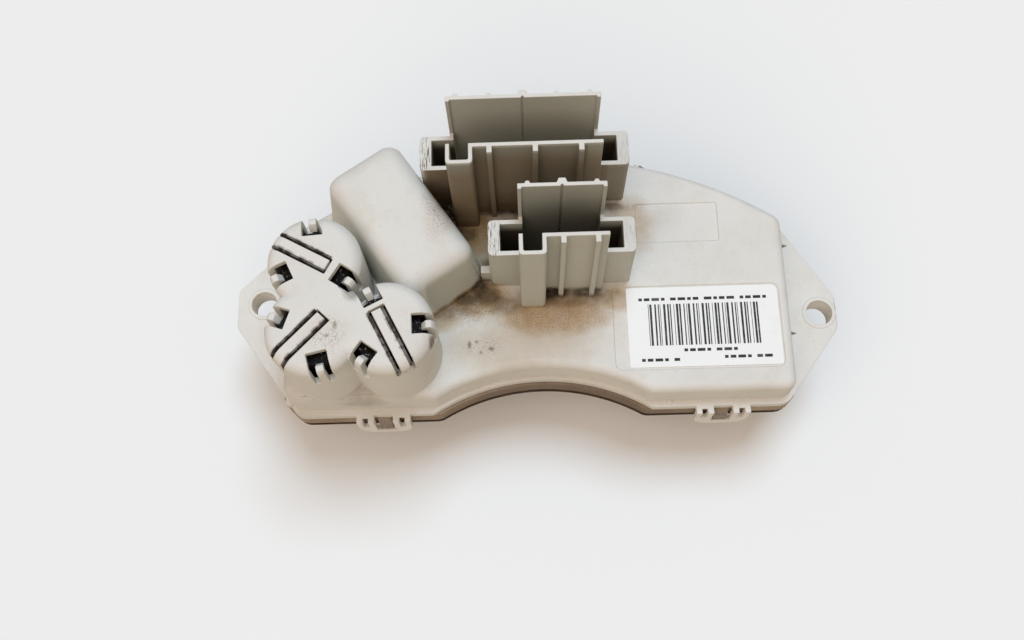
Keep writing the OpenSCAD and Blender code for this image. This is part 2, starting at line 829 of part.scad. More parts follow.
module capacitor_can(i) {
    at = domes[i][0];
    bottom = board_top_z + 0.6;
    color([0.80, 0.80, 0.80]) from_left_hole() translate([at[0], at[1], 0]) difference() {
        rotate_extrude() difference() {
            translate([0, bottom]) square([can_r, cap_top_z - 0.2 - bottom]);
            translate([0, bottom - cut]) square([bung_r, board_top_z + bung_h - bottom + cut]);
            translate([can_r + 0.35, bottom + 4.5]) circle(0.9);
            translate([can_r - 0.5, cap_top_z - 0.7]) difference() {
                square(1);
                circle(0.5);
            }
        }
        for (a = [0, 60, 120])
            rotate([0, 0, a]) translate([-4.5, -0.2, cap_top_z - 0.5]) cube([9, 0.4, 1]);
    }
}

module capacitor_sleeve(i) {
    at = domes[i][0];
    bottom = board_top_z + 0.6;
    color(epoxy_black) from_left_hole() translate([at[0], at[1], 0]) rotate_extrude() {
        translate([can_r + 0.02, bottom]) square([sleeve_t, cap_top_z - bottom]);
        translate([can_r - sleeve_fold, cap_top_z - sleeve_t]) square([sleeve_fold + 0.1, sleeve_t]);
    }
}

module capacitor_bung(i) {
    at = domes[i][0];
    color(rubber_black) from_left_hole() translate([at[0], at[1], board_top_z]) difference() {
        cylinder(r = bung_r - 0.02, h = bung_h);
        for (s = [-1, 1])
            translate([s * lead_pitch / 2, 0, -cut]) cylinder(r = lead_r + 0.02, h = bung_h + 2 * cut);
    }
}

module capacitor_leads() {
    color(tin) from_left_hole() for (d = domes, s = [-1, 1])
        translate([d[0][0] + s * lead_pitch / 2, d[0][1], board_z - 0.8])
            cylinder(r = lead_r, h = board_t + bung_h + 0.6);
}

// Choke: a ferrite rod with one layer of wire, on a moulded cradle
choke_lift = 14.3;
choke_z = board_top_z + choke_lift;
winding_r = core_d / 2 + wire_d / 2 + 0.1;
winding_pitch = wire_d * 1.06;
wire_sides = 8;
turn_steps = 16;

module choke_core() {
    color([0.22, 0.22, 0.23]) from_left_hole() at_box()
        translate([-core_l / 2, 0, choke_z]) rotate([0, 90, 0]) cylinder(d = core_d, h = core_l);
}

// Middle line of the wire: up from the board, round the core, and down again
function winding_path() =
    let(
        length = turns * winding_pitch,
        steps = turns * turn_steps,
        leg = core_l / 2 - 5
    )
    [
        [-leg, 0, board_z + 0.4 - choke_z],
        [-leg, 0, -winding_r - wire_d * 1.6],
        for (i = [0:steps])
            let(a = -90 + 360 * turns * i / steps, x = -length / 2 + length * i / steps)
            [x, winding_r * cos(a), winding_r * sin(a)],
        [leg, 0, -winding_r - wire_d * 1.6],
        [leg, 0, board_z + 0.4 - choke_z],
    ];

// Tube along a path; a ring's own axes come from the path's direction there
module tube(path, d, sides) {
    m = len(path);
    dirs = [for (i = [0:m - 1]) unit(path[min(i + 1, m - 1)] - path[max(i - 1, 0)])];
    points = [for (i = [0:m - 1])
        let(side = unit(cross(dirs[i], [1, 0.001, 0.002])), up = cross(dirs[i], side))
        for (j = [0:sides - 1])
            path[i] + d / 2 * (cos(360 * j / sides) * side + sin(360 * j / sides) * up)];
    polyhedron(points = points, faces = [
        [for (j = [sides - 1:-1:0]) j],
        [for (j = [0:sides - 1]) (m - 1) * sides + j],
        for (i = [0:m - 2], j = [0:sides - 1])
            let(a = i * sides + j, b = i * sides + (j + 1) % sides)
            each [[a, b, b + sides], [a, b + sides, a + sides]],
    ]);
}

module choke_winding() {
    color(copper) from_left_hole() at_box() translate([0, 0, choke_z]) tube(winding_path(), wire_d, wire_sides);
}

module choke_cradle() {
    half = core_l / 2;
    color([0.25, 0.25, 0.26]) from_left_hole() at_box() difference() {
        union() {
            block(-half, -5, board_top_z, half, 5, board_top_z + 1.5);
            for (s = [-1, 1])
                translate([s > 0 ? half - 2.4 : -half, -5, board_top_z])
                    cube([2.4, 10, choke_z - board_top_z]);
        }
        translate([-half - cut, 0, choke_z]) rotate([0, 90, 0]) cylinder(d = core_d + 0.1, h = core_l + 2 * cut);
        for (s = [-1, 1])
            translate([s * (half - 5), 0, board_top_z - cut]) cylinder(d = wire_d + 0.6, h = 3);
    }
}

module package(i) {
    translate([clamp_x + (i - 1) * package_pitch, package_y, package_z]) {
        color(epoxy_black) block(-package_w / 2, -0.5, 0, package_w / 2, 8.5, package_h);
        color(tin) difference() {
            block(-package_w / 2, -6.5, 0, package_w / 2, -0.5, 1.3);
            translate([0, -3.4, -cut]) cylinder(d = 3.6, h = 3);
        }
        color(tin) for (k = [-1:1])
            translate([k * 2.54 - 0.4, 0, 0]) {
                block(0, 8.4, 1.9, 0.8, lead_y + 0.25 - package_y, 2.4);
                block(0, lead_y - 0.25 - package_y, 1.9, 0.8, lead_y + 0.25 - package_y, board_top_z + 0.6 - package_z);
            }
    }
}

module transistor_1() { from_left_hole() package(0); }
module transistor_2() { from_left_hole() package(1); }
module freewheel_diode() { from_left_hole() package(2); }

module thermal_pad() {
    half = package_pitch * 1.5 - 0.2;
    color([0.85, 0.80, 0.70]) from_left_hole()
        block(clamp_x - half, package_y - 6.8, tray_in_z, clamp_x + half, package_y + 8.8, package_z);
}

// Clamp: a steel strip with a turned-up edge, held down on the packages by two screws
module transistor_clamp() {
    half = clamp_bolt + 2.4;
    color([0.62, 0.62, 0.64]) from_left_hole() translate([clamp_x, clamp_y, clamp_z]) difference() {
        union() {
            block(-half, -2.6, 0, half, 2.6, clamp_t);
            block(-half + 5, -3.4, 0, half - 5, -2.5, 2.4);
        }
        for (s = [-1, 1])
            translate([s * clamp_bolt, 0, -cut]) cylinder(d = 2.8, h = 3);
    }
}

module clamp_screws() {
    color(tin) from_left_hole() for (s = [-1, 1])
        screw([clamp_x + s * clamp_bolt, clamp_y], clamp_z + clamp_t, clamp_t + 5, 4.8);
}

// Busbars: a foot on the board, an upright and the plug blade in the socket
module busbar(i, foot) {
    x = blade_x[i];
    color(tin) from_left_hole() at_large() {
        difference() {
            block(x - blade_w / 2, socket_mid_y - blade_t / 2, board_top_z,
                x + blade_w / 2, socket_mid_y + blade_t / 2, floor_z + blade_l);
            for (s = [-1, 1])
                translate([x + s * blade_w / 2, socket_mid_y, floor_z + blade_l]) rotate([0, s * 30, 0])
                    translate([-0.6, -2, -2]) cube([1.2, 4, 4]);
        }
        block(x - blade_w / 2, socket_mid_y - foot, board_top_z,
            x + blade_w / 2, socket_mid_y - blade_t / 2 + 0.05, board_top_z + blade_t);
    }
}

short_foot = 6;
long_foot = 8;
module battery_plus_busbar() { busbar(0, short_foot); }
module battery_minus_busbar() { busbar(1, long_foot); }
module motor_plus_busbar() { busbar(2, long_foot); }
module motor_minus_busbar() { busbar(3, short_foot); }

module signal_pins() {
    color(tin) from_left_hole() at_small() for (x = signal_x) {
        block(x + 3 - signal_w / 2, socket_mid_y - blade_t / 2, board_top_z + 1,
            x + 3 + signal_w / 2, socket_mid_y + blade_t / 2, floor_z + blade_l - 2);
        translate([x + 3, socket_mid_y, board_z - 0.6]) cylinder(d = 1, h = board_t + 1.8);
    }
}

module shunt_resistor() {
    x = 46;
    y = 4.5;
    color(copper) from_left_hole() {
        block(x, y - 2, board_top_z, x + 3, y + 2, board_top_z + 0.8);
        block(x + 9, y - 2, board_top_z, x + 12, y + 2, board_top_z + 0.8);
        block(x + 2.2, y - 2, board_top_z, x + 3, y + 2, board_top_z + 4);
        block(x + 9, y - 2, board_top_z, x + 9.8, y + 2, board_top_z + 4);
        block(x + 2.2, y - 2, board_top_z + 3.2, x + 9.8, y + 2, board_top_z + 4);
    }
}

module control_chip() {
    x = 30;
    from_left_hole() translate([x, lead_y + 6.5, board_top_z]) {
        color(epoxy_black) block(-5, -3.7, 0.1, 5, 3.7, 2.4);
        color(tin) for (s = [-1, 1], k = [-3.5:1:3.5])
            block(k * 1.27 - 0.2, s > 0 ? 3.6 : -5.2, 0, k * 1.27 + 0.2, s > 0 ? 5.2 : -3.6, 0.9);
    }
}

// A row of small surface-mounted parts
chip_part = [3.2, 1.6, 0.9];
chip_pitch = 4.4;
chip_row = [24, back_y - 24.1];
module chip_parts() {
    color([0.75, 0.70, 0.58]) from_left_hole()
        for (k = [0:4])
            translate([chip_row[0] + k * chip_pitch, chip_row[1], board_top_z])
                cube([chip_part[0], chip_part[1], chip_part[2] + 0.2 * (k % 2)]);
}

cover();
label();
heat_sink();
housing_seal();
circuit_board();
board_screws();
capacitor_can(0);  // capacitor_can_1
capacitor_can(1);  // capacitor_can_2
capacitor_can(2);  // capacitor_can_3
capacitor_sleeve(0);  // capacitor_sleeve_1
capacitor_sleeve(1);  // capacitor_sleeve_2
capacitor_sleeve(2);  // capacitor_sleeve_3
capacitor_bung(0);  // capacitor_bung_1
capacitor_bung(1);  // capacitor_bung_2
capacitor_bung(2);  // capacitor_bung_3
capacitor_leads();
choke_core();
choke_winding();
choke_cradle();
transistor_1();
transistor_2();
freewheel_diode();
thermal_pad();
transistor_clamp();
clamp_screws();
battery_plus_busbar();
battery_minus_busbar();
motor_plus_busbar();
motor_minus_busbar();
signal_pins();
shunt_resistor();
control_chip();
chip_parts();
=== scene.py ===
import json
from math import cos, radians, sin

import bpy
from mathutils import Matrix, Vector


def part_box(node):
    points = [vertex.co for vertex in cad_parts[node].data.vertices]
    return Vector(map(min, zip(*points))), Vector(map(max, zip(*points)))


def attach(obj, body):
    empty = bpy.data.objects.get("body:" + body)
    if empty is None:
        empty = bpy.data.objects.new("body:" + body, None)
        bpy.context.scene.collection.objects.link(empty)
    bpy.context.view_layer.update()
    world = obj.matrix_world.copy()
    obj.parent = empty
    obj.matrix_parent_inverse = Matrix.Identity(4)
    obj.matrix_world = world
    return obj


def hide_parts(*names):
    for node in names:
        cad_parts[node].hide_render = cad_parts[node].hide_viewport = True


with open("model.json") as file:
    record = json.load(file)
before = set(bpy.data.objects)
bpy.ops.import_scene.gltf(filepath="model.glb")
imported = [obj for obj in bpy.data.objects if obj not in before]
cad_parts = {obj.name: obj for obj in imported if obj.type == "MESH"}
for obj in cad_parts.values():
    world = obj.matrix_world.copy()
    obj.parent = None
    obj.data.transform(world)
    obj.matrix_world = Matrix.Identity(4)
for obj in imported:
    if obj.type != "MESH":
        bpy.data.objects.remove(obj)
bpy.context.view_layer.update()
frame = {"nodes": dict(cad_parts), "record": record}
nodes = frame["nodes"]

MM = 0.001

# The label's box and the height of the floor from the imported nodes, and how far the middle
# between the two ear holes is from the left one
label_low, label_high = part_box("label")
floor_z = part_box("heat_sink")[0].z
MID_X = 72 * MM


def srgb(red, green, blue):
    """Colour from 0-255 screen values to the linear values that shaders use."""
    def linear(value):
        value = value / 255
        return value / 12.92 if value <= 0.04045 else ((value + 0.055) / 1.055) ** 2.4
    return (linear(red), linear(green), linear(blue), 1)


def place(x, y, z):
    """Point of the part from millimetres counted from the middle between the ear holes."""
    return Vector((x * MM, y * MM, z * MM)) + Vector((MID_X, 0, 0))


# Node tools

# Sockets of a mix node, which has a set for each kind of data
FACTOR, NUMBER_A, NUMBER_B, COLOUR_A, COLOUR_B = 0, 2, 3, 6, 7
NUMBER_OUT, COLOUR_OUT = 0, 2
ZERO = (0.0, 0.0, 0.0)


def new_group(name, output, inputs):
    """Empty node group with one output: its tree, and the sockets at its start and its end."""
    tree = bpy.data.node_groups.new(name, "ShaderNodeTree")
    for label, default in inputs.items():
        kind = "NodeSocketFloat" if isinstance(default, float) else "NodeSocketVector"
        socket = tree.interface.new_socket(name=label, in_out="INPUT", socket_type=kind)
        socket.default_value = default
    tree.interface.new_socket(name=output, in_out="OUTPUT", socket_type="NodeSocketFloat")
    start = tree.nodes.new("NodeGroupInput")
    end = tree.nodes.new("NodeGroupOutput")
    return tree, start.outputs, end.inputs


def feed(tree, socket, value):
    """Links an output to a socket, or sets the socket's own value."""
    if isinstance(value, bpy.types.NodeSocket):
        tree.links.new(value, socket)
    else:
        socket.default_value = value


def add(tree, kind, *values, **settings):
    """New node with its settings, and with values for its inputs in their order."""
    node = tree.nodes.new(kind)
    for key, value in settings.items():
        setattr(node, key, value)
    for socket, value in zip(node.inputs, values):
        feed(tree, socket, value)
    return node


def maths(tree, operation, *values):
    """Result of a maths node."""
    return add(tree, "ShaderNodeMath", *values, operation=operation).outputs[0]


def vector_maths(tree, operation, *values):
    """Result of a vector maths node, which is a number for a length or a dot product."""
    node = add(tree, "ShaderNodeVectorMath", *values, operation=operation)
    return node.outputs["Value" if operation in ("LENGTH", "DOT_PRODUCT") else "Vector"]


def times(tree, first, second):
    """Product of two numbers."""
    return maths(tree, "MULTIPLY", first, second)


def largest(tree, fields):
    """Largest of several fields, at each point."""
    total = fields[0]
    for field in fields[1:]:
        total = maths(tree, "MAXIMUM", total, field)
    return total


def rising(tree, start, rise, mask):
    """Number that goes from start, where the mask is 0, to start and rise, where it is 1."""
    return maths(tree, "ADD", start, times(tree, mask, rise))


def split(tree, vector):
    """X, Y and Z of a vector."""
    return add(tree, "ShaderNodeSeparateXYZ", vector).outputs


def blend(tree, amount, low, high):
    """Colour that goes from low to high with amount."""
    node = add(tree, "ShaderNodeMix", data_type="RGBA")
    feed(tree, node.inputs[FACTOR], amount)
    feed(tree, node.inputs[COLOUR_A], low)
    feed(tree, node.inputs[COLOUR_B], high)
    return node.outputs[COLOUR_OUT]


def steps(tree, value, low, high, out_low=0.0, out_high=1.0):
    """Value moved smoothly from one range to another."""
    return add(tree, "ShaderNodeMapRange", value, low, high, out_low, out_high,
               interpolation_type="SMOOTHSTEP").outputs[0]


def steps_mm(tree, place_along, start, full, out_start=0.0, out_full=1.0):
    """The same for a place along one axis, with the range in millimetres."""
    return steps(tree, place_along, start * MM, full * MM, out_start, out_full)


def noise(tree, vector, scale, detail=3.0, rough=0.6):
    """Noise between 0 and 1."""
    node = add(tree, "ShaderNodeTexNoise")
    feed(tree, node.inputs["Vector"], vector)
    feed(tree, node.inputs["Scale"], scale)
    feed(tree, node.inputs["Detail"], detail)
    feed(tree, node.inputs["Roughness"], rough)
    return node.outputs["Fac"]


def peaks(tree, field, share, level, fall, border):
    """Where a noise is over a level, which is lower by fall for a share of 1, with a soft border."""
    edge = maths(tree, "SUBTRACT", level, times(tree, share, fall))
    return steps(tree, field, edge, maths(tree, "ADD", edge, border))


# Shared effects

def speckle_group():
    """Small dark flecks, as in glass-filled nylon and dust on it."""
    tree, given, out = new_group("fine_speckle", "Mask", {"Vector": ZERO, "Scale": 900.0, "Share": 0.3})
    fine = noise(tree, given["Vector"], given["Scale"], detail=2.0, rough=0.7)
    feed(tree, out["Mask"], peaks(tree, fine, given["Share"], level=0.78, fall=0.4, border=0.08))
    return tree


def cloud_group():
    """Soft uneven patches, for handling marks and dust."""
    tree, given, out = new_group("soft_patches", "Mask", {
        "Vector": ZERO, "Scale": 60.0, "Low": 0.45, "High": 0.7})
    broad = noise(tree, given["Vector"], given["Scale"], detail=5.0, rough=0.62)
    feed(tree, out["Mask"], steps(tree, broad, given["Low"], given["High"]))
    return tree


def spot_group():
    """Stain round a centre, with a ragged edge, as wide as Size along each axis."""
    tree, given, out = new_group("dirt_spot", "Mask", {
        "Vector": ZERO, "Centre": ZERO, "Size": (0.01, 0.01, 0.01), "Ragged": 0.5})
    away = vector_maths(tree, "SUBTRACT", given["Vector"], given["Centre"])
    share = vector_maths(tree, "LENGTH", vector_maths(tree, "DIVIDE", away, given["Size"]))
    frayed = maths(tree, "SUBTRACT", noise(tree, given["Vector"], 260.0, detail=4.0), 0.5)
    reach = maths(tree, "ADD", share, times(tree, frayed, given["Ragged"]))
    feed(tree, out["Mask"], steps(tree, reach, 1.0, 0.35))
    return tree


def grain_group():
    """Height of a moulded or cast skin: fine grain over a slight unevenness."""
    tree, given, out = new_group("skin_grain", "Height", {
        "Vector": ZERO, "Fine": 1600.0, "Broad": 90.0, "Share": 0.5})
    both = add(tree, "ShaderNodeMix", data_type="FLOAT")
    feed(tree, both.inputs[FACTOR], given["Share"])
    feed(tree, both.inputs[NUMBER_A], noise(tree, given["Vector"], given["Fine"], detail=2.0, rough=0.5))
    feed(tree, both.inputs[NUMBER_B], noise(tree, given["Vector"], given["Broad"], detail=2.0, rough=0.5))
    feed(tree, out["Height"], both.outputs[NUMBER_OUT])
    return tree


def strip_group():
    """Long narrow field, such as a spring tongue, seen from above; Edge is its soft border."""
    tree, given, out = new_group("strip_field", "Mask", {
        "Vector": ZERO, "Centre": ZERO, "Along": (1.0, 0.0, 0.0),
        "Half Length": 0.006, "Half Width": 0.0015, "Edge": 0.0003})
    away = vector_maths(tree, "SUBTRACT", given["Vector"], given["Centre"])
    flat = vector_maths(tree, "MULTIPLY", away, (1, 1, 0))
    reach = maths(tree, "ABSOLUTE", vector_maths(tree, "DOT_PRODUCT", flat, given["Along"]))
    length = vector_maths(tree, "LENGTH", flat)
    square = maths(tree, "SUBTRACT", maths(tree, "POWER", length, 2.0), maths(tree, "POWER", reach, 2.0))
    across = maths(tree, "SQRT", maths(tree, "MAXIMUM", square, 0.0))
    ends = steps(tree, maths(tree, "SUBTRACT", reach, given["Half Length"]), given["Edge"], 0.0)
    sides = steps(tree, maths(tree, "SUBTRACT", across, given["Half Width"]), given["Edge"], 0.0)
    feed(tree, out["Mask"], times(tree, ends, sides))
    return tree


def scratch_group():
    """Fine broken lines along the axis where Stretch, the fineness along each axis, is least."""
    tree, given, out = new_group("fine_scratches", "Mask", {
        "Vector": ZERO, "Stretch": (200.0, 3000.0, 200.0), "Share": 0.4})
    stretched = vector_maths(tree, "MULTIPLY", given["Vector"], given["Stretch"])
    lines = noise(tree, stretched, 1.0, rough=0.65)
    feed(tree, out["Mask"], peaks(tree, lines, given["Share"], level=0.72, fall=0.3, border=0.05))
    return tree


SPECKLE = speckle_group()
PATCHES = cloud_group()
SPOT = spot_group()
GRAIN = grain_group()
STRIP = strip_group()
SCRATCHES = scratch_group()


def use(tree, shared, **values):
    """A shared effect placed in a material with its own values."""
    node = add(tree, "ShaderNodeGroup", node_tree=shared)
    for key, value in values.items():
        feed(tree, node.inputs[key], value)
    return node.outputs[0]


def patches(tree, where, scale, low, high):
    """Soft patches, none where the noise is under low and full where it is over high."""
    return use(tree, PATCHES, Vector=where, Scale=scale, Low=low, High=high)


def speckle(tree, where, scale, share):
    """Flecks, more of them with a larger share."""
    return use(tree, SPECKLE, Vector=where, Scale=scale, Share=share)


def strip(tree, where, middle, along, half_length, half_width, border):
    """Strip seen from above, with its sizes in millimetres."""
    return use(tree, STRIP, **{
        "Vector": where, "Centre": middle, "Along": along, "Half Length": half_length * MM,
        "Half Width": half_width * MM, "Edge": border * MM})


def spots(tree, where, places, ragged):
    """Largest of a list of stains."""
    return largest(tree, [
        times(tree, use(tree, SPOT, Vector=where, Centre=place(*centre), Size=Vector(reach) * MM,
                        Ragged=ragged), strength)
        for centre, reach, strength in places])


def new_material(name, roughness, metallic=0.0, gloss=0.5):
    """Material, its tree, its Principled shader and its object coordinates."""
    material = bpy.data.materials.new(name)
    material.use_nodes = True
    tree = material.node_tree
    shader = tree.nodes["Principled BSDF"]
    shader.inputs["Roughness"].default_value = roughness
    shader.inputs["Metallic"].default_value = metallic
    shader.inputs["Specular IOR Level"].default_value = gloss
    where = add(tree, "ShaderNodeTexCoord").outputs["Object"]
    return material, tree, shader, where


def grainy(tree, shader, where, fine, broad, share, strength, depth):
    """Bump of a moulded or cast skin; share is that of the broad unevenness, depth in millimetres."""
    node = add(tree, "ShaderNodeBump")
    node.inputs["Strength"].default_value = strength
    node.inputs["Distance"].default_value = depth * MM
    feed(tree, node.inputs["Height"], use(tree, GRAIN, Vector=where, Fine=fine, Broad=broad, Share=share))
    feed(tree, shader.inputs["Normal"], node.outputs["Normal"])


# Looks of the cover. All places are in millimetres from the middle between the ear holes.

# Tan dirt: centre, reach and strength
TAN_DIRT = [
    ((-16, 15, 15.5), (8, 14, 6), 1.0),
    ((-16, -3, 15.5), (12, 7.5, 3), 1.0),
    ((3, -8, 15), (20, 8.5, 3), 0.85),
    ((19, -4.5, 15), (9, 4.5, 3), 0.7),
    ((24, 16, 15), (8, 11, 3), 0.6),
    ((0, 15, 15.5), (28, 6, 7), 1.0),
    ((-25, -8, 15), (8, 6, 3), 0.75),
    ((-8, -16, 15), (32, 9, 3), 0.34),
    ((-17, 17.5, 27), (6, 5, 13), 0.5),
    ((-24, 11, 32), (6, 14, 7), 0.22),
    ((-49, -19, 38), (8, 6, 4), 0.15),
    ((-66, 1, 30), (5, 5, 12), 0.3),
]
# Dark brown dirt with painted shade, at the feet of the choke box and the small socket, on the front of the
# large socket and low between the domes: centre, reach and strength
DARK_DIRT_AND_SHADE = [
    ((3, 20.8, 17), (26, 3, 12), 0.85),
    ((-12.5, 4, 15.5), (3.5, 7, 2.5), 0.6),
    ((-20, -5.5, 15.3), (8, 4, 2.5), 0.6),
    ((6, -3.4, 15.5), (19, 3.4, 2.5), 0.7),
    ((-44, -9.5, 38), (2.5, 2.5, 4), 0.5),
    ((-17, -2.5, 15.5), (8, 6, 3), 0.75),
    ((-23.5, -6.6, 15.5), (6, 3, 3), 0.6),
    ((-9, -5, 15.5), (8, 4, 2.5), 0.65),
    ((-45, -27, 12), (9, 4, 6), 0.4),
]
# Deep brown painted shade with dirt, in the corner between the choke box and the large socket and along the
# feet of the choke box and both sockets: centre, reach and strength
DEEP_SHADE_AND_DIRT = [
    ((-25, 18.5, 15.5), (10, 10, 15), 1.0),
    ((-17.5, 14.5, 15.5), (3, 3, 4), 0.6),
    ((-15.4, -0.5, 15.5), (3.4, 5.5, 4), 0.9),
    ((-18, -3.2, 15.5), (5, 2.4, 3), 0.7),
    ((-12.5, -3, 15.5), (4, 2.6, 3), 0.6),
    ((2.5, -2.2, 15.5), (8, 2.4, 4.5), 1.0),
    ((12, -2.2, 15.5), (7, 2.0, 3.5), 0.7),
    ((0, 21.2, 15.5), (24, 2.6, 6), 0.95),
]
# Small brown marks, on the face beside the domes and high on two of the domes
SMALL_MARKS = [
    ((-18, -15.2, 15.5), (0.9, 1.9, 1), 1.0),
    ((-16.3, -14.6, 15.5), (0.9, 0.8, 1), 0.9),
    ((-12.6, -16.6, 15.5), (1.2, 0.9, 1), 0.8),
    ((-15.2, -17.4, 15.5), (0.8, 0.8, 1), 0.7),
    ((-25.6, -21.0, 36), (1.2, 2.0, 3), 0.8),
    ((-47.5, -17.0, 38.5), (0.9, 1.4, 1), 0.7),
    ((-49.5, -19.5, 38.5), (1.4, 0.9, 1), 0.6),
]
# Where dark flecks gather: by the choke box, on the face, between the sockets and on a dome
FLECKED = [
    ((-24.5, 13, 30), (6, 13, 9), 0.9),
    ((-18, 2, 21), (5, 5, 7), 0.5),
    ((-17, -4, 15.5), (14, 8, 3), 1.0),
    ((4, -9, 15.5), (20, 6, 3), 0.7),
    ((-8, 14, 15.5), (18, 6, 4), 0.9),
    ((-14, -16, 15.5), (8, 4, 3), 0.6),
    ((-49, -19, 38), (6, 7, 4), 0.6),
]
# Scratched rims of the plug sockets
SCRATCHED = [
    ((-27.3, 27.5, 36), (3.0, 9, 1.5), 1.0),
    ((-11.0, 4.5, 36), (3.0, 9, 1.5), 0.9),
    ((21.6, 27.5, 36), (2.6, 8, 1.5), 0.25),
    ((22.1, 4.5, 36), (2.6, 8, 1.5), 0.3),
]
# Painted light on the insides of the two ear holes
HOLE_WALL_LIGHT = [
    ((-72, 0, 3.4), (5.5, 5.5, 7), 1.0),
    ((72, -6.8, 3.4), (5.5, 5.5, 7), 1.0),
]
# Dark places in and by the plug sockets, seen from above: middle, half length, half width, border,
# the heights where the dark starts and where it is full, and its strength
SOCKET_SHADE = [
    ((-3, 27.3), 22.6, 3.4, 0.2, 36.0, 31.0, 0.93),
    ((-2.95, 27.1), 17.0, 5.2, 0.2, 51.3, 48.0, 0.66),
    ((-2.95, 27.1), 17.0, 5.2, 0.2, 46.0, 26.0, 0.92),
    ((5.3, 4.55), 14.6, 3.4, 0.2, 36.0, 31.0, 0.95),
    ((5.35, 4.35), 9.0, 5.2, 0.2, 49.0, 31.0, 0.92),
    ((5.35, 4.55), 9.3, 6.3, 0.1, 62.0, 26.0, 0.76),
    ((-7.5, 19), 19.0, 4.6, 0.8, 51.3, 50.0, 0.46),
    ((13.5, 19), 3.0, 4.6, 0.8, 51.3, 50.0, 0.3),
    ((-3, 19), 25.4, 4.6, 0.8, 37.0, 34.0, 0.3),
]
# Brown film on the front of the large socket, written as the dark places are
SOCKET_FILM = [
    ((-5, 19), 22.0, 4.6, 0.8, 51.5, 43.0, 0.62),
    ((20.5, 20), 7.5, 5.5, 0.8, 40.0, 34.0, 0.35),
]
# Walls round the sockets, painted a duller grey as shade: middle, half length, half width and border
SOCKET_WALL_SHADE = ((-1, 14), 26.0, 20.5, 1.0)
# Spring tongues of the domes: free end, direction of the root in degrees, and length
TONGUES = [
    ((-38.6, -13.6), 296.5, 15.5),
    ((-50.8, -14.5), 225.5, 14.5),
    ((-49.6, -2.1), 151.0, 14.5),
]
# Heights from which the tongues are marked, and how far forward the front clip loops get painted light
TONGUE_FROM, TONGUE_FULL = 33.5, 34.5
LIT_LOOPS_FROM, LIT_LOOPS_FULL = -30.7, -31.1
# Where the height of a surface's normal is under WALL, it is a wall; over FLAT, it is none
WALL, FLAT = 0.1, 0.75

PALE_GREY, DULL_GREY = srgb(220, 217, 212), srgb(210, 206, 200)
WALL_PAINTED_LIGHT, SHADED_SOCKET_GREY = srgb(226, 226, 218), srgb(184, 186, 174)
PAINTED_LIGHT_GREY, TONGUE_GREY = srgb(240, 238, 234), srgb(222, 214, 208)
DUST, FLECK, DARK_FLECK = srgb(196, 189, 172), srgb(150, 140, 120), srgb(100, 84, 62)
TAN, DARK_BROWN, DEEP_BROWN = srgb(182, 155, 118), srgb(116, 98, 72), srgb(46, 35, 25)
SMALL_MARK, FILM, SHADE = srgb(112, 92, 70), srgb(160, 132, 98), srgb(60, 48, 32)
SCRATCH, WORN, SLIT_SHADE = srgb(74, 67, 58), srgb(110, 90, 74), srgb(38, 29, 23)


def tongue_fields(tree, where, half_width, border):
    """Largest of the fields of the three spring tongues, from near their tops upwards."""
    fields = []
    for (x, y), angle, length in TONGUES:
        along = Vector((cos(radians(angle)), sin(radians(angle)), 0))
        middle = place(x, y, 0) + along * (length * 0.5 * MM)
        fields.append(strip(tree, where, middle, along, length * 0.5, half_width, border))
    high = steps_mm(tree, split(tree, where)["Z"], TONGUE_FROM, TONGUE_FULL)
    return times(tree, largest(tree, fields), high)


def tongue_borders(tree, where, outer, inner):
    """What lies between two widths of the tongues, each a half width and a border."""
    between = maths(tree, "SUBTRACT", tongue_fields(tree, where, *outer), tongue_fields(tree, where, *inner))
    return maths(tree, "MAXIMUM", between, 0.0)


def socket_fields(tree, where, height, places):
    """Dirt or deep shade in and in front of the plug sockets, denser further down."""
    fields = []
    for (x, y), half_length, half_width, border, top, full, strength in places:
        field = strip(tree, where, place(x, y, 0), Vector((1, 0, 0)), half_length, half_width, border)
        fields.append(times(tree, field, steps_mm(tree, height, top, full, 0.0, strength)))
    return largest(tree, fields)


